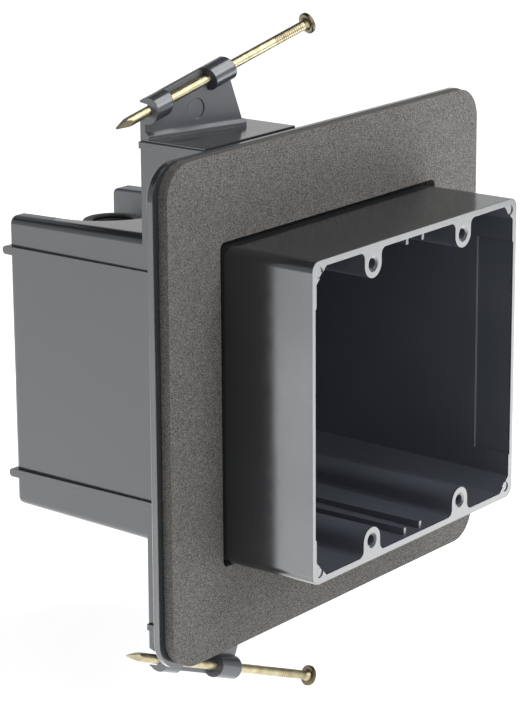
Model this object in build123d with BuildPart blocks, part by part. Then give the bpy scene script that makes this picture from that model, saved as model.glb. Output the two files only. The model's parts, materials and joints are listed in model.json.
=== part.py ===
"""Two-gang nail-on switch box with an air-seal flange, in millimetres.

The origin is the centre of the device screw pattern, on the front face of the rim.
+X points right, +Y to the back and +Z up, so the open front faces -Y. The left side
goes against the stud, and the nails that fix it are driven towards -X.
"""
import os
from math import atan2, cos, degrees, radians, sin, tan

from build123d import *

os.makedirs("parts", exist_ok=True)

# Device screws: the standard pattern of a two-gang box
device_pitch_x = 46.04
device_pitch_z = 83.34
screw_core_dia = 3.1
screw_core_depth = 24
screw_mouth_dia = 4.7
screw_mouth_angle = 130
boss_dia = 8.3
boss_flare = 2

# Shell: a straight sleeve in front of the flange and a drafted box behind it
rim_width = 104.3
rim_height = 95.4
rim_corner = 3.2
depth = 114.3
wall = 2
rear_wall = 2.2
side_draft = 0.5
top_draft = 1.6
rear_corner = 2.4
rear_edge_round = 1.8

# Inside of the rim
gusset_leg = 4.7
pin_mark_dia = 3
pin_mark_depth = 0.3
side_relief_depth = 0.5
side_relief_height = 68
side_relief_reach = 12.7

# Guides for a divider, in pairs on the floor and the ceiling
guide_pitch = 8
guide_thickness = 1.2
guide_height = 2.3
guide_setback = 1.5

# Flange and its foam gasket
rim_projection = 31.75
gasket_thickness = 3.2
gasket_side_inset = 1.7
gasket_top_inset = 0.3
gasket_side_clearance = 1.65
gasket_top_clearance = 1
gasket_hole_corner = 2
gasket_shift = (0.8, 0.2)
flange_width = 157.6
flange_height = 149.8
flange_corner = 10
flange_thickness = 2.6
flange_edge_round = 1

# Cable pockets, one for each gang in the top and in the bottom
pillar_width = 6.6
pillar_edge_round = 0.8
pocket_outer_wall = 6
pocket_depth = 11.3
entry_setback = 18.3
entry_dia = 12.4
entry_collar_dia = 18.8
entry_collar_height = 6.5

# Soft seals under the cable entries
seal_dia = 16
seal_thickness = 1
seal_dome_dia = 11.2
seal_dome_rise = 1.8
seal_pilot_dia = 3

# Ribs that stand the box off the stud and turn onto its rear corners
rib_height = 2.6
rib_spacing = 70.4
rib_proud = 0.7
rib_rear_proud = 1.4
rib_edge_round = 1.2

# Shoulders that carry the nail brackets
shoulder_depth = 23.9
shoulder_right = -10
shoulder_top = 75.3
shoulder_rib_height = 2
shoulder_rib_drop = 0.6

# Nail brackets and nails
nail_plan_angle = 15.6
nail_rise_angle = 18.75
nail_height = 8.3
nail_length = 73
nail_dia = 2.87
nail_tip_reach = 11.5
nail_point_length = 5.5
nail_point_flat = 0.4
nail_head_dia = 6.4
nail_head_thickness = 1.3
nail_head_edge = 0.35
nail_neck_length = 1.2
nail_neck_dia = 4
nail_clearance = 0.08
nail_standoff = 0.9
plate_thickness = 1.8
plate_end = 30.3
plate_top = 3
collar_radius = 3.7
left_collar_width = 5.3
right_collar_width = 7.2
right_collar_middle = 25.8
window_front_height = 3.8
window_rear_height = 5
window_inset = 1.2
foot_height = 2.1
foot_proud = 1.3
foot_bevel = 1
disc_mark_dia = 6.2
disc_mark_depth = 0.4
disc_mark_x = 17.6
disc_mark_z = -1.4

# Places that follow from the sizes above
flange_front = rim_projection + gasket_thickness
flange_back = flange_front + flange_thickness
shoulder_rear = flange_back + shoulder_depth
cavity_depth = depth - rear_wall
stud_face = -(rim_width / 2 + rib_proud)


def across(y):
    """Plane across the box at depth y, seen from the front."""
    return Plane.XZ.offset(-y)


def drawn_in(y, angle):
    """How far a wall drafted by angle has drawn in behind the flange at depth y."""
    return (y - flange_back) * tan(radians(angle))


rear_half_width = rim_width / 2 - drawn_in(depth, side_draft)
rear_half_height = rim_height / 2 - drawn_in(depth, top_draft)
pocket_radius = (rear_half_width - pocket_outer_wall - pillar_width / 2) / 2
pocket_x = pillar_width / 2 + pocket_radius
pocket_floor = rear_half_height - pocket_depth
pocket_y = depth - entry_setback


def pocket_outline(margin):
    """Round-fronted outline of both cable pockets in plan, open to the rear."""
    with BuildSketch(Plane.XY) as outline:
        with Locations((-pocket_x, pocket_y), (pocket_x, pocket_y)):
            Circle(pocket_radius + margin)
            Rectangle(2 * (pocket_radius + margin), depth - pocket_y, align=(Align.CENTER, Align.MIN))
    return outline.sketch


# Space inside the box, with the bosses, guides and pockets standing in it
with BuildPart() as cavity:
    with BuildSketch(across(0)) as mouth:
        Rectangle(rim_width - 2 * wall, rim_height - 2 * wall)
        chamfer(mouth.vertices(), gusset_leg)
    with BuildSketch(across(cavity_depth)) as end:
        Rectangle(2 * (rear_half_width - wall), 2 * (rear_half_height - wall))
        chamfer(end.vertices(), gusset_leg)
    loft(ruled=True)

    boss_web = (rim_height - device_pitch_z) / 2
    mouth_half_height = rim_height / 2 - wall
    with BuildSketch(across(0)) as bosses:
        with GridLocations(device_pitch_x, device_pitch_z, 2, 2):
            Circle(boss_dia / 2)
        with GridLocations(device_pitch_x, device_pitch_z + boss_web, 2, 2):
            Rectangle(boss_dia, boss_web)
        with GridLocations(0, rim_height - wall, 1, 2):
            Rectangle(rim_width, wall)
        boss_roots = bosses.vertices().filter_by(
            lambda root: abs(root.X) < device_pitch_x
            and abs(abs(root.Y) - mouth_half_height) < boss_flare / 2
        )
        fillet(boss_roots, boss_flare)
    extrude(amount=-pocket_y, mode=Mode.SUBTRACT)

    with BuildSketch(across(guide_setback)):
        with GridLocations(guide_pitch, rim_height - 2 * wall - guide_height, 2, 2):
            Rectangle(guide_thickness, guide_height)
    extrude(amount=-depth, mode=Mode.SUBTRACT)

    for level in (1, -1):
        pocket_shell = Plane.XY.offset(level * (pocket_floor - wall)) * pocket_outline(wall)
        extrude(pocket_shell, amount=level * rim_height, mode=Mode.SUBTRACT)

# Upper nail's axis, from the left face of the shoulder towards the head
left_face = rim_width / 2 - drawn_in(shoulder_rear, side_draft)
plan = radians(nail_plan_angle)
rise = radians(nail_rise_angle)
plate_back = nail_standoff + plate_thickness
nail_entry = (
    -left_face,
    shoulder_rear - plate_back / cos(plan),
    shoulder_top + nail_height,
)
nail_axis = Plane(
    origin=nail_entry,
    x_dir=(sin(plan), cos(plan), 0),
    z_dir=(cos(rise) * cos(plan), -cos(rise) * sin(plan), sin(rise)),
)
plate_face = Plane(
    origin=nail_entry,
    x_dir=(cos(plan), -sin(plan), 0),
    z_dir=(-sin(plan), -cos(plan), 0),
).offset(-nail_standoff)
bore_dia = nail_dia + 2 * nail_clearance
overhang = plate_thickness


def collar_lengths(inset):
    """Front view of the collars: the left one ends upright, the right one lies square to the nail."""
    middle = nail_axis.origin + nail_axis.z_dir * right_collar_middle
    square = degrees(atan2(nail_axis.z_dir.Z, nail_axis.z_dir.X))
    with BuildSketch(across(0)) as lengths:
        with Locations((nail_axis.origin.X, nail_axis.origin.Z)):
            Rectangle(2 * left_collar_width, 4 * collar_radius)
        with Locations((middle.X, middle.Z)):
            Rectangle(right_collar_width - 2 * inset, 4 * collar_radius, rotation=square)
    return lengths.sketch


# Collars round the front of the upper nail
with BuildPart() as collars:
    with BuildSketch(nail_axis.offset(-overhang)):
        Circle(collar_radius)
    extrude(amount=nail_length)
    extrude(collar_lengths(0), amount=-depth, mode=Mode.INTERSECT)

# Flared windows behind the collars, that let the mould draw straight to the rear
with BuildPart() as windows:
    with BuildSketch(nail_axis.offset(-overhang)):
        with BuildLine():
            Polyline(
                (0, -window_front_height / 2),
                (plate_back, -window_rear_height / 2),
                (plate_back, window_rear_height / 2),
                (0, window_front_height / 2),
                close=True,
            )
        make_face()
    extrude(amount=nail_length)
    extrude(collar_lengths(window_inset), amount=-depth, mode=Mode.INTERSECT)

# Upper nail bracket: a raked plate with two collars and a bevelled foot
with BuildPart() as nail_bracket:
    corner_x = plate_end * cos(rise) - plate_top * sin(rise)
    corner_z = plate_end * sin(rise) + plate_top * cos(rise)
    plate_base_length = corner_x + (corner_z + nail_height) * tan(rise)
    with BuildSketch(plate_face):
        with BuildLine():
            Polyline(
                (-overhang, -nail_height),
                (plate_base_length, -nail_height),
                (corner_x, corner_z),
                (-overhang, corner_z - (corner_x + overhang) * tan(rise)),
                close=True,
            )
        make_face()
    extrude(amount=-plate_thickness)

    add(collars.part)
    split(bisect_by=plate_face.offset(-plate_thickness), keep=Keep.TOP)
    add(windows.part, mode=Mode.SUBTRACT)

    foot_section = Plane(origin=plate_face.origin, x_dir=plate_face.z_dir, z_dir=-plate_face.x_dir)
    foot_top = foot_height - nail_height
    with BuildSketch(foot_section.offset(overhang)):
        with BuildLine():
            Polyline(
                (0, -nail_height),
                (foot_proud, -nail_height),
                (foot_proud, foot_top - foot_bevel),
                (foot_proud - foot_bevel, foot_top),
                (0, foot_top),
                close=True,
            )
        make_face()
    extrude(amount=-(plate_base_length + overhang))

    with BuildSketch(plate_face):
        with Locations((disc_mark_x, disc_mark_z)):
            Circle(disc_mark_dia / 2)
    extrude(amount=-disc_mark_depth, mode=Mode.SUBTRACT)

    with BuildSketch(nail_axis.offset(-nail_tip_reach)):
        Circle(bore_dia / 2)
    extrude(amount=nail_length, mode=Mode.SUBTRACT)
    split(bisect_by=Plane.YZ.offset(-left_face), keep=Keep.TOP)

# Box body: one moulding with its flange, shoulders, ribs and nail brackets
with BuildPart() as box_body:
    with BuildSketch(across(flange_front)):
        RectangleRounded(flange_width, flange_height, flange_corner)
    extrude(amount=-flange_thickness)
    fillet(box_body.faces().sort_by(Axis.Y)[-1].edges(), flange_edge_round)

    with BuildSketch(across(flange_back)):
        RectangleRounded(rim_width, rim_height, rim_corner)
    with BuildSketch(across(depth)):
        RectangleRounded(2 * rear_half_width, 2 * rear_half_height, rear_corner)
    loft(ruled=True)
    fillet(box_body.faces().sort_by(Axis.Y)[-1].edges(), rear_edge_round)

    with BuildSketch(across(0)):
        RectangleRounded(rim_width, rim_height, rim_corner)
    extrude(amount=-flange_back)

    for y in (flange_back, shoulder_rear):
        shoulder_left = drawn_in(y, side_draft) - rim_width / 2
        with BuildSketch(across(y)):
            with Locations((shoulder_left, 0)):
                Rectangle(shoulder_right - shoulder_left, 2 * shoulder_top, align=(Align.MIN, Align.CENTER))
    loft(ruled=True)

    rib_length = depth + rib_rear_proud - flange_back
    pockets_reach = rear_half_width - pocket_outer_wall
    for level in (rib_spacing / 2, -rib_spacing / 2):
        with BuildSketch(Plane.XY.offset(level)):
            with Locations((0, flange_back)):
                Rectangle(-2 * stud_face, rib_length, align=(Align.CENTER, Align.MIN))
                Rectangle(2 * pockets_reach, rib_length, align=(Align.CENTER, Align.MIN), mode=Mode.SUBTRACT)
        extrude(amount=rib_height / 2, both=True)
    fillet(box_body.faces().sort_by(Axis.Y)[-4:].edges().filter_by(Axis.X), rib_edge_round)

    shoulder_rib_pitch = 2 * (shoulder_top - shoulder_rib_drop) - shoulder_rib_height
    with BuildSketch(across(flange_back)):
        with Locations((stud_face + wall / 2, 0)):
            with GridLocations(0, shoulder_rib_pitch, 1, 2):
                Rectangle(wall, shoulder_rib_height)
    extrude(amount=-shoulder_depth)

    add(cavity.part, mode=Mode.SUBTRACT)

    shoulder_roof = shoulder_top - wall
    shoulder_floor = rim_height / 2
    shoulder_inner_width = shoulder_right + left_face - 2 * wall
    with BuildSketch(across(shoulder_rear)):
        with Locations((shoulder_right - wall - shoulder_inner_width / 2, 0)):
            with GridLocations(0, shoulder_roof + shoulder_floor, 1, 2):
                Rectangle(shoulder_inner_width, shoulder_roof - shoulder_floor)
    extrude(amount=shoulder_depth, mode=Mode.SUBTRACT)

    for level in (1, -1):
        pocket = Plane.XY.offset(level * pocket_floor) * pocket_outline(0)
        extrude(pocket, amount=level * rim_height, mode=Mode.SUBTRACT)
        with BuildSketch(Plane.XY.offset(level * pocket_floor)):
            with Locations((-pocket_x, pocket_y), (pocket_x, pocket_y)):
                Circle(entry_collar_dia / 2)
        extrude(amount=level * entry_collar_height)
        with BuildSketch(Plane.XY.offset(level * (pocket_floor - wall))):
            with Locations((-pocket_x, pocket_y), (pocket_x, pocket_y)):
                Circle(entry_dia / 2)
        extrude(amount=level * (wall + entry_collar_height), mode=Mode.SUBTRACT)
    pillar_edges = box_body.edges().filter_by(
        lambda edge: abs(abs(edge.center().X) - pillar_width / 2) < pillar_edge_round / 2
        and abs(edge.center().Z) > rear_half_height
    )
    fillet(pillar_edges, pillar_edge_round)

    add(nail_bracket.part)
    add(mirror(nail_bracket.part, about=Plane.XY, mode=Mode.PRIVATE))

    with Locations(across(0)):
        with GridLocations(device_pitch_x, device_pitch_z, 2, 2):
            CounterSinkHole(screw_core_dia / 2, screw_mouth_dia / 2, screw_core_depth, screw_mouth_angle)

    with BuildSketch(across(0)):
        with GridLocations(rim_width - 2 * wall - side_relief_depth, 0, 2, 1):
            Rectangle(3 * side_relief_depth, side_relief_height)
    extrude(amount=-side_relief_reach, mode=Mode.SUBTRACT)

    pin_mark_inset = 2 * wall + pin_mark_dia
    with BuildSketch(across(0)):
        with GridLocations(rim_width - pin_mark_inset, rim_height - pin_mark_inset, 2, 2):
            Circle(pin_mark_dia / 2)
    extrude(amount=-pin_mark_depth, mode=Mode.SUBTRACT)

box_body.part.label = "box_body"
export_step(box_body.part, "parts/box_body.step")

# Foam gasket on the front of the flange, round the sleeve
with BuildPart() as flange_gasket:
    with BuildSketch(across(rim_projection)):
        with Locations(gasket_shift):
            RectangleRounded(
                flange_width - 2 * gasket_side_inset,
                flange_height - 2 * gasket_top_inset,
                flange_corner,
            )
            RectangleRounded(
                rim_width + 2 * gasket_side_clearance,
                rim_height + 2 * gasket_top_clearance,
                gasket_hole_corner,
                mode=Mode.SUBTRACT,
            )
    extrude(amount=-gasket_thickness)

flange_gasket.part.label = "flange_gasket"
export_step(flange_gasket.part, "parts/flange_gasket.step")

# Upper nail: diamond point, round shank and flat head
with BuildPart() as upper_nail:
    nail_tip = nail_axis.offset(-nail_tip_reach)
    shank_start = nail_tip.offset(nail_point_length)
    head_seat = nail_tip.offset(nail_length - nail_head_thickness)
    with BuildSketch(nail_tip):
        Rectangle(nail_point_flat, nail_point_flat)
    with BuildSketch(shank_start):
        Rectangle(nail_dia, nail_dia)
    loft(ruled=True)
    with BuildSketch(nail_tip):
        Circle(nail_dia / 2)
    extrude(amount=nail_point_length, mode=Mode.INTERSECT)
    with BuildSketch(shank_start):
        Circle(nail_dia / 2)
    extrude(amount=nail_length - nail_point_length - nail_head_thickness)
    with BuildSketch(head_seat.offset(-nail_neck_length)):
        Circle(nail_dia / 2)
    with BuildSketch(head_seat):
        Circle(nail_neck_dia / 2)
    loft()
    with BuildSketch(head_seat):
        Circle(nail_head_dia / 2)
    extrude(amount=nail_head_thickness)
    head_rim = upper_nail.edges().filter_by(GeomType.CIRCLE).filter_by(
        lambda edge: edge.radius > nail_neck_dia / 2 + nail_head_edge
    )
    fillet(head_rim, nail_head_edge)

upper_nail.part.label = "upper_nail"
export_step(upper_nail.part, "parts/upper_nail.step")

# Lower nail, the mirror image of the upper one
with BuildPart() as lower_nail:
    mirror(upper_nail.part, about=Plane.XY)

lower_nail.part.label = "lower_nail"
export_step(lower_nail.part, "parts/lower_nail.step")

# Cable seals: soft washers under the pocket floors, dished into the box
for row, level in (("upper", 1), ("lower", -1)):
    for column, side in (("left", -1), ("right", 1)):
        seat = Plane(
            origin=(side * pocket_x, pocket_y, level * (pocket_floor - wall)),
            x_dir=(1, 0, 0),
            z_dir=(0, level, 0),
        )
        with BuildPart() as cable_seal:
            with BuildSketch(seat):
                with BuildLine():
                    Polyline(
                        (seal_dia / 2, 0),
                        (seal_dia / 2, seal_thickness),
                        (seal_dome_dia / 2, seal_thickness),
                        (seal_pilot_dia / 2, seal_dome_rise + seal_thickness),
                        (seal_pilot_dia / 2, seal_dome_rise),
                        (seal_dome_dia / 2, 0),
                        close=True,
                    )
                make_face()
            revolve(axis=Axis(seat.origin, (0, 0, 1)))
        name = f"cable_seal_{row}_{column}"
        cable_seal.part.label = name
        export_step(cable_seal.part, f"parts/{name}.step")
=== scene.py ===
"""Looks of the two-gang nail-on switch box: finishes, lips of the cable entries, floor, light and camera.

Lengths are in metres, in the frame of the part: +X right, +Y to the back and +Z up, with
the origin at the centre of the device screws on the front face of the rim. A noise pattern
is its cells to the metre and its detail. A radiance of 1 is white.
"""
import json
from math import cos, pi, radians, sin

import bmesh
import bpy
from mathutils import Matrix, Vector


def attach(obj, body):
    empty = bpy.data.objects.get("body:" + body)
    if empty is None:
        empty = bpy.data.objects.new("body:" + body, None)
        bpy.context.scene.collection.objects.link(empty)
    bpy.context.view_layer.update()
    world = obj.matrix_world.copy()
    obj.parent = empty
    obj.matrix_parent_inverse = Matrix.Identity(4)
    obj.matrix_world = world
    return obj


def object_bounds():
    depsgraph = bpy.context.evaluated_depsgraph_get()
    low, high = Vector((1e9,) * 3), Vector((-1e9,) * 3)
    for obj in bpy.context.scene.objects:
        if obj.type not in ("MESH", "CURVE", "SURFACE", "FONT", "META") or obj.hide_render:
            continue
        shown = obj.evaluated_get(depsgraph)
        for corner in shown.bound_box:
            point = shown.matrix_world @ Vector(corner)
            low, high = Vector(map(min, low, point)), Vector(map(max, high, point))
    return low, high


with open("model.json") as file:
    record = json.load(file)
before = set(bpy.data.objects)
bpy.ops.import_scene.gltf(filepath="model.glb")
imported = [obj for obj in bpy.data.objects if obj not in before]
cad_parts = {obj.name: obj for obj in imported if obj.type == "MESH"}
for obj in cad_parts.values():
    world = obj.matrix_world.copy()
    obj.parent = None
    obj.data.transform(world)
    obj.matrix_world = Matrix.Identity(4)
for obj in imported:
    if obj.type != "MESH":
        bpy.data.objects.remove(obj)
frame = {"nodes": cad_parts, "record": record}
cad_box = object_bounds()
mm = 0.001

# Camera: a long lens, from the left of the open front and a little above it
camera_place = Vector((-0.6667, -0.4568, 0.2367))
camera_heading = radians(52.325)
camera_pitch = radians(15.698)
camera_roll = radians(-0.356)
sensor_width_mm = 36
lens_mm = 144.79

# Floor and sky: each stop of the sky is the height of a direction, from 0 to 1, and its colour
floor_drop = 0.0005
floor_half_width = 6
floor_colour = (0.86, 0.86, 0.86, 1)
floor_lift = 0.76
sky_white = (1, 1, 1)
sky_pale = (0.8, 0.8, 0.8)
sky_dark = (0.1, 0.1, 0.105)
sky_stops = ((0.12, sky_white), (0.2, sky_pale), (0.4, sky_pale), (0.6, sky_dark))

# Light tables on the floor, most of them laid along the view that the left walls mirror: each has
# its centre, turn about Z, size and radiance
table_lift = 0.001
mirrored_view_turn = radians(142.3)
tables = {
    "left_table": ((-0.47, 0.52), mirrored_view_turn, (1.4, 0.36), 1.05),
    "side_table_near": ((-0.1914, 0.0772), mirrored_view_turn, (0.195, 0.09), 1.5),
    "side_table_middle": ((-0.3595, 0.2071), mirrored_view_turn, (0.23, 0.09), 2.1),
    "side_table_far": ((-0.6611, 0.4339), mirrored_view_turn, (0.525, 0.1), 3.9),
    "front_table": ((0.34, -0.235), 0, (0.6, 0.39), 3.8),
}

# Softboxes, a long one from overhead to the front, a lower one before the open side and a small one
# at the right: each has its centre, size and radiance
softbox_aim = Vector((0, 0.03, 0.02))
softboxes = {
    "strip_softbox": (Vector((0.1, -0.62, 0.74)), (0.3, 1.2), 7.0),
    "front_softbox": (Vector((-0.3, -0.9, 0.45)), (0.7, 0.4), 3.2),
    "right_softbox": (Vector((0.4, -0.31, 0.77)), (0.22, 0.22), 4.5),
}

# Values between which most of a noise lies
noise_limits = (0.3, 0.7)

# Moulded plastic: satin inside the mouth of the box, where a lighter tone is painted light, and partly satin
# on the brackets beyond the shoulders
mouth_low = (-0.0508, 0.0004, -0.046)
mouth_high = (0.0508, 0.1125, 0.046)
bracket_start = 0.0754
bracket_share = 0.45
satin_dullness = 0.22
gloss_range = (0.13, 0.17)
gloss_tones = ((0.018, 0.019, 0.0205), (0.022, 0.0232, 0.025))
# These lighter tones are painted light inside the mouth of the box, and part of the satin finish on the
# brackets
satin_and_painted_light_tones = ((0.055, 0.062, 0.074), (0.064, 0.071, 0.084))
plastic_tint = (0.965, 0.983, 1, 1)
plastic_ior = 1.7
plastic_edge_round = 0.0003
plastic_edge_samples = 4
plastic_clouds = (45, 2)
plastic_polish = (320, 2)
sink_marks = (60, 0)
sink_depth = 0.00006
plastic_grain = (2600, 2)
plastic_grain_depth = 0.000003

# Closed-cell foam
foam_cells = (4400, 1)
foam_cell_depth = 0.00004
foam_tones = ((0.01, 0.0096, 0.0092), (0.19, 0.182, 0.174))
foam_tone_limits = (0.34, 0.66)
foam_roughness = (0.75, 0.95)
foam_specular = 0.2

# Zinc-plated nails, with grip marks and a head darkened by painted shade, placed along the shank from the
# origin
grip_start = 0.012
grip_end = 0.0225
grip_fade = 0.0006
grip_wave_scale = 430.0
grip_wave_distortion = 0.6
grip_wave_detail = 1.0
grip_depth = 0.000035
# Painted shade in the grooves between the grip marks
groove_shade_tone = (0.5, 0.46, 0.42, 1)
head_start = 0.0243
# Painted shade that darkens the nail heads
head_shade_tone = (0.25, 0.235, 0.22, 1)
zinc_tones = ((0.265, 0.231, 0.139), (0.415, 0.373, 0.256))
zinc_roughness = (0.3, 0.44)
zinc_clouds = (420, 4)
zinc_wear = (900, 3)
zinc_grain = (1500, 3)
zinc_grain_depth = 0.000005

# Soft rubber
rubber_tones = ((0.008, 0.008, 0.008), (0.016, 0.016, 0.016))
rubber_roughness = (0.45, 0.65)
rubber_clouds = (600, 3)
rubber_wear = (900, 3)
rubber_skin = (3000, 2)
rubber_skin_depth = 0.00003

# Soft lip on each cable entry, sunk a little into the collar that it sits on
lip_outer = 0.00935
lip_inner = 0.0063
lip_height = 0.0012
lip_round = 0.0005
lip_sink = 0.0001
lip_arc_steps = 4
lip_segments = 72


def add_node(tree, kind, inputs=None, **settings):
    """A shader node, with values or other nodes' outputs on its inputs."""
    made = tree.nodes.new(kind)
    for key, value in settings.items():
        setattr(made, key, value)
    for key, value in (inputs or {}).items():
        if isinstance(value, bpy.types.NodeSocket):
            tree.links.new(value, made.inputs[key])
        else:
            made.inputs[key].default_value = value
    return made


def new_material(name):
    """A node material with its tree, its shader's inputs and its object coordinates."""
    material = bpy.data.materials.new(name)
    material.use_nodes = True
    tree = material.node_tree
    place = add_node(tree, "ShaderNodeTexCoord").outputs["Object"]
    return material, tree, tree.nodes["Principled BSDF"].inputs, place


def maths(tree, operation, *values):
    """A number worked out from one, two or three values."""
    return add_node(tree, "ShaderNodeMath", dict(enumerate(values)), operation=operation).outputs[0]


def vector_maths(tree, operation, *vectors):
    """A vector worked out from two vectors."""
    made = add_node(tree, "ShaderNodeVectorMath", dict(enumerate(vectors)), operation=operation)
    return made.outputs["Vector"]


def axes(tree, vector):
    """X, Y and Z of a vector."""
    return add_node(tree, "ShaderNodeSeparateXYZ", {0: vector}).outputs


def noise(tree, place, pattern):
    """Noise from 0 to 1 in the given pattern."""
    scale, detail = pattern
    made = add_node(tree, "ShaderNodeTexNoise", {"Vector": place, "Scale": scale, "Detail": detail})
    return made.outputs["Fac"]


def spread(tree, value, new_limits, limits=noise_limits):
    """Value between the limits, stretched to run between the new ones."""
    start, end = limits
    low, high = new_limits
    inputs = {"Value": value, "From Min": start, "From Max": end, "To Min": low, "To Max": high}
    return add_node(tree, "ShaderNodeMapRange", inputs).outputs["Result"]


def beyond(tree, value, start, fade):
    """0 up to start, then rising to 1 over the fade."""
    return spread(tree, value, (0, 1), (start, start + fade))


def colours(tree, value, stops):
    """Colours that run through the stops, each a position and a colour, as value goes from 0 to 1."""
    made = add_node(tree, "ShaderNodeValToRGB", {"Fac": value})
    elements = made.color_ramp.elements
    for position, _ in stops[1:-1]:
        elements.new(position)
    for element, (position, colour) in zip(elements, stops):
        element.position = position
        element.color = (*colour, 1)
    return made.outputs["Color"]


def shades(tree, value, tones, limits=noise_limits):
    """Colours from the first tone to the second as value goes between the limits."""
    return colours(tree, value, tuple(zip(limits, tones)))


def mix(tree, share, first, second, blend="MIX"):
    """The first colour, blended with the second one by its share."""
    inputs = {"Factor": share, "A": first, "B": second}
    return add_node(tree, "ShaderNodeMix", inputs, data_type="RGBA", blend_type=blend).outputs["Result"]


def bump(tree, height, depth, normal=None):
    """Normals disturbed by a height from 0 to 1 that stands for depth metres."""
    inputs = {"Height": height, "Distance": depth, "Strength": 1.0}
    if normal:
        inputs["Normal"] = normal
    return add_node(tree, "ShaderNodeBump", inputs).outputs["Normal"]


def within(tree, place, low, high):
    """1 inside the box from low to high, and 0 outside it."""
    above = vector_maths(tree, "SUBTRACT", place, low)
    below = vector_maths(tree, "SUBTRACT", high, place)
    x, y, z = axes(tree, vector_maths(tree, "MINIMUM", above, below))
    least = maths(tree, "MINIMUM", maths(tree, "MINIMUM", x, y), z)
    return maths(tree, "GREATER_THAN", least, 0.0)


def moulded_plastic():
    """Dark grey moulded plastic, semi-gloss or satin, with softened edges, and a lighter tone inside the
    mouth of the box that is painted light.
    """
    material, tree, shader, place = new_material("dark_moulded_plastic")
    inside = within(tree, place, mouth_low, mouth_high)
    level = maths(tree, "ABSOLUTE", axes(tree, place)["Z"])
    bracket = maths(tree, "GREATER_THAN", level, bracket_start)
    satin_and_painted_light = maths(tree, "MAXIMUM", inside, maths(tree, "MULTIPLY", bracket, bracket_share))
    clouds = noise(tree, place, plastic_clouds)
    # Painted light: a lighter tone inside the mouth of the box; the brackets take part of it as their satin
    # tone
    tone = mix(tree, satin_and_painted_light, shades(tree, clouds, gloss_tones), shades(tree, clouds, satin_and_painted_light_tones))
    tree.links.new(tone, shader["Base Color"])
    gloss = spread(tree, noise(tree, place, plastic_polish), gloss_range)
    tree.links.new(maths(tree, "MULTIPLY_ADD", satin_and_painted_light, satin_dullness, gloss), shader["Roughness"])
    shader["IOR"].default_value = plastic_ior
    shader["Specular Tint"].default_value = plastic_tint
    edges = add_node(tree, "ShaderNodeBevel", {"Radius": plastic_edge_round}, samples=plastic_edge_samples)
    sunk = bump(tree, noise(tree, place, sink_marks), sink_depth, edges.outputs["Normal"])
    grain = bump(tree, noise(tree, place, plastic_grain), plastic_grain_depth, sunk)
    tree.links.new(grain, shader["Normal"])
    return material


def closed_cell_foam():
    """Grey-brown foam with fine pale and dark cells."""
    material, tree, shader, place = new_material("closed_cell_foam")
    cells = noise(tree, place, foam_cells)
    tree.links.new(shades(tree, cells, foam_tones, foam_tone_limits), shader["Base Color"])
    tree.links.new(spread(tree, cells, foam_roughness), shader["Roughness"])
    shader["Specular IOR Level"].default_value = foam_specular
    tree.links.new(bump(tree, cells, foam_cell_depth), shader["Normal"])
    return material


def along_nail(tree, place):
    """Distance along the shank, with the lower nail folded onto the upper one."""
    drive = next(joint for joint in frame["record"]["behaviour"]["joints"] if joint["child"] == "upper_nail")
    towards_head = -Vector(drive["axis"])
    x, y, z = axes(tree, place)
    folded = add_node(tree, "ShaderNodeCombineXYZ", {"X": x, "Y": y, "Z": maths(tree, "ABSOLUTE", z)})
    inputs = {0: folded.outputs[0], 1: towards_head}
    return add_node(tree, "ShaderNodeVectorMath", inputs, operation="DOT_PRODUCT").outputs["Value"]


def zinc_plate():
    """Yellow zinc plating on a drawn nail, with grip marks below its head, and painted shade that darkens the
    head and the grooves of the marks.
    """
    material, tree, shader, place = new_material("yellow_zinc_plate")
    along = along_nail(tree, place)
    wave = {
        "Vector": add_node(tree, "ShaderNodeCombineXYZ", {"X": along}).outputs[0],
        "Scale": grip_wave_scale,
        "Distortion": grip_wave_distortion,
        "Detail": grip_wave_detail,
    }
    marks = add_node(tree, "ShaderNodeTexWave", wave).outputs["Fac"]
    begun = beyond(tree, along, grip_start, grip_fade)
    gripped = maths(tree, "SUBTRACT", begun, beyond(tree, along, grip_end, grip_fade))
    ridges = maths(tree, "MULTIPLY", marks, gripped)
    grooves = maths(tree, "SUBTRACT", gripped, ridges)
    head = beyond(tree, along, head_start, grip_fade)
    tone = shades(tree, noise(tree, place, zinc_clouds), zinc_tones)
    # Painted shade: the head of each nail is darkened
    tone = mix(tree, head, tone, head_shade_tone, "MULTIPLY")
    # Painted shade darkens the grooves between the grip marks
    tone = mix(tree, grooves, tone, groove_shade_tone, "MULTIPLY")
    tree.links.new(tone, shader["Base Color"])
    shader["Metallic"].default_value = 1
    tree.links.new(spread(tree, noise(tree, place, zinc_wear), zinc_roughness), shader["Roughness"])
    grain = bump(tree, noise(tree, place, zinc_grain), zinc_grain_depth)
    tree.links.new(bump(tree, ridges, grip_depth, grain), shader["Normal"])
    return material


def soft_rubber():
    """Black soft rubber, matt, with a fine skin."""
    material, tree, shader, place = new_material("black_soft_rubber")
    tree.links.new(shades(tree, noise(tree, place, rubber_clouds), rubber_tones), shader["Base Color"])
    tree.links.new(spread(tree, noise(tree, place, rubber_wear), rubber_roughness), shader["Roughness"])
    tree.links.new(bump(tree, noise(tree, place, rubber_skin), rubber_skin_depth), shader["Normal"])
    return material


def lip_section():
    """Radius and height of points round the section of a lip, with both upper edges rounded."""
    turns = [pi / 2 * step / lip_arc_steps for step in range(lip_arc_steps + 1)]
    edge = [(lip_round * (1 - cos(turn)), lip_height - lip_round * (1 - sin(turn))) for turn in turns]
    outer = [(lip_outer - inset, height) for inset, height in edge]
    inner = [(lip_inner + inset, height) for inset, height in reversed(edge)]
    return [(lip_outer, -lip_sink), *outer, *inner, (lip_inner, -lip_sink)]


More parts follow.
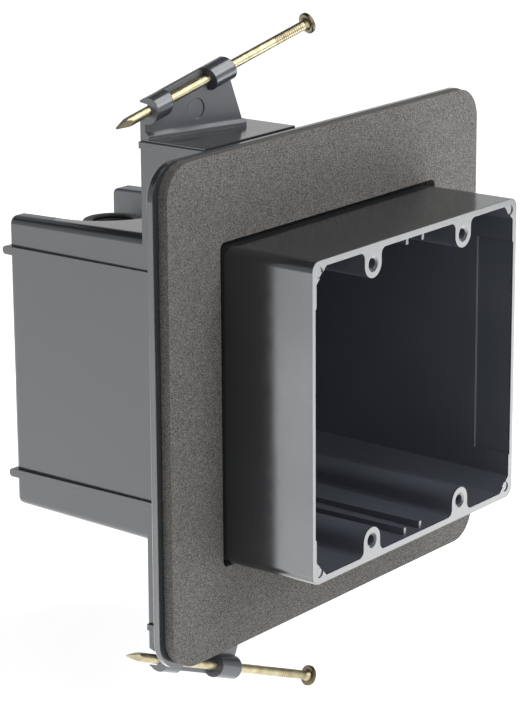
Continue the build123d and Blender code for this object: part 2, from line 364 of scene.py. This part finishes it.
def lip_mesh(name, end, axis):
    """The section of a lip, turned about an upright axis at the end of a collar."""
    section = lip_section()
    count = len(section)
    points = []
    faces = []
    for turn in range(lip_segments):
        angle = 2 * pi * turn / lip_segments
        outward = Vector((cos(angle), sin(angle), 0))
        points += [end + outward * radius + axis * height for radius, height in section]
        here, there = turn * count, (turn + 1) % lip_segments * count
        for i in range(count):
            j = (i + 1) % count
            faces.append((here + i, here + j, there + j, there + i))
    mesh = bpy.data.meshes.new(name)
    mesh.from_pydata(points, [], faces)
    shell = bmesh.new()
    shell.from_mesh(mesh)
    bmesh.ops.recalc_face_normals(shell, faces=shell.faces)
    shell.to_mesh(mesh)
    shell.free()
    mesh.shade_smooth()
    return mesh


def add_lips(rubber):
    """A soft ring on the outer end of each cable entry's collar."""
    for mount in frame["record"]["mounts"]:
        if not mount["name"].startswith("cable_entry"):
            continue
        name = mount["name"].replace("cable_entry", "entry_lip")
        axis = Vector(mount["axis"])
        end = Vector(mount["pos_m"]) + axis * mount["dims"]["length_mm"] * mm / 2
        lip = bpy.data.objects.new(name, lip_mesh(name, end, axis))
        lip.data.materials.append(rubber)
        bpy.context.scene.collection.objects.link(lip)
        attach(lip, "box")


def dress(nodes):
    """Give each CAD node the finish of its material slot, and each cable entry its lip."""
    finishes = {
        "box_plastic": moulded_plastic(),
        "gasket_foam": closed_cell_foam(),
        "nail_zinc": zinc_plate(),
        "seal_rubber": soft_rubber(),
    }
    for row in frame["record"]["subparts"]:
        nodes[row["node"]].material_slots[0].material = finishes[row["material_slot"]]
    add_lips(finishes["seal_rubber"])


def floor_material():
    """White floor that keeps the shadow and is lifted to white where it is seen or mirrored."""
    material = bpy.data.materials.new("white_floor")
    material.use_nodes = True
    tree = material.node_tree
    tree.nodes.clear()
    paint = add_node(tree, "ShaderNodeBsdfDiffuse", {"Color": floor_colour})
    rays = add_node(tree, "ShaderNodeLightPath").outputs
    seen = rays["Is Camera Ray"]
    for kind in ("Is Glossy Ray", "Is Transmission Ray"):
        seen = maths(tree, "MAXIMUM", seen, rays[kind])
    lift = add_node(tree, "ShaderNodeEmission", {"Strength": maths(tree, "MULTIPLY", seen, floor_lift)})
    both = add_node(tree, "ShaderNodeAddShader", {0: paint.outputs[0], 1: lift.outputs[0]})
    add_node(tree, "ShaderNodeOutputMaterial", {"Surface": both.outputs[0]})
    return material


def lay_floor(level):
    """A wide floor just under the lowest point of the part."""
    reach = floor_half_width
    corners = [(-reach, -reach, level), (reach, -reach, level), (reach, reach, level), (-reach, reach, level)]
    mesh = bpy.data.meshes.new("floor")
    mesh.from_pydata(corners, [], [(0, 1, 2, 3)])
    mesh.materials.append(floor_material())
    floor = bpy.data.objects.new("floor", mesh)
    bpy.context.scene.collection.objects.link(floor)


def set_sky():
    """A white backdrop round the horizon, pale above it and dark overhead."""
    world = bpy.data.worlds.new("studio")
    bpy.context.scene.world = world
    world.use_nodes = True
    tree = world.node_tree
    tree.nodes.clear()
    way = add_node(tree, "ShaderNodeTexCoord").outputs["Generated"]
    backdrop = colours(tree, axes(tree, way)["Z"], sky_stops)
    room = add_node(tree, "ShaderNodeBackground", {"Color": backdrop})
    add_node(tree, "ShaderNodeOutputWorld", {"Surface": room.outputs[0]})


def add_lamp(name, place, turn, size, radiance):
    """A rectangular lamp of even radiance, that the camera doesn't see."""
    light = bpy.data.lights.new(name, "AREA")
    light.shape = "RECTANGLE"
    light.size, light.size_y = size
    light.energy = radiance * pi * size[0] * size[1]
    lamp = bpy.data.objects.new(name, light)
    lamp.location = place
    lamp.rotation_euler = turn
    lamp.visible_camera = False
    bpy.context.scene.collection.objects.link(lamp)


def set_lamps(floor_level):
    """Light tables that shine upwards from the floor, and softboxes that face the part."""
    for name, (centre, turn, size, radiance) in tables.items():
        add_lamp(name, (*centre, floor_level + table_lift), (pi, 0, turn), size, radiance)
    for name, (centre, size, radiance) in softboxes.items():
        facing = (softbox_aim - centre).to_track_quat("-Z", "Y").to_euler()
        add_lamp(name, centre, facing, size, radiance)


def set_camera():
    """Camera at the viewing angle, turned to its heading, pitched down and rolled a little."""
    ahead = Vector((
        sin(camera_heading) * cos(camera_pitch),
        cos(camera_heading) * cos(camera_pitch),
        -sin(camera_pitch),
    ))
    right = Vector((cos(camera_heading), -sin(camera_heading), 0))
    up = right.cross(ahead)
    rolled_right = cos(camera_roll) * right + sin(camera_roll) * up
    rolled_up = cos(camera_roll) * up - sin(camera_roll) * right
    turn = Matrix((rolled_right, rolled_up, -ahead)).transposed()
    lens = bpy.data.cameras.new("camera")
    lens.sensor_width = sensor_width_mm
    lens.lens = lens_mm
    camera = bpy.data.objects.new("camera", lens)
    camera.matrix_world = Matrix.Translation(camera_place) @ turn.to_4x4()
    bpy.context.scene.collection.objects.link(camera)
    bpy.context.scene.camera = camera


bpy.context.scene.view_settings.view_transform = "Standard"
dress(frame["nodes"])
floor_level = cad_box[0].z - floor_drop
lay_floor(floor_level)
set_sky()
set_lamps(floor_level)
set_camera()
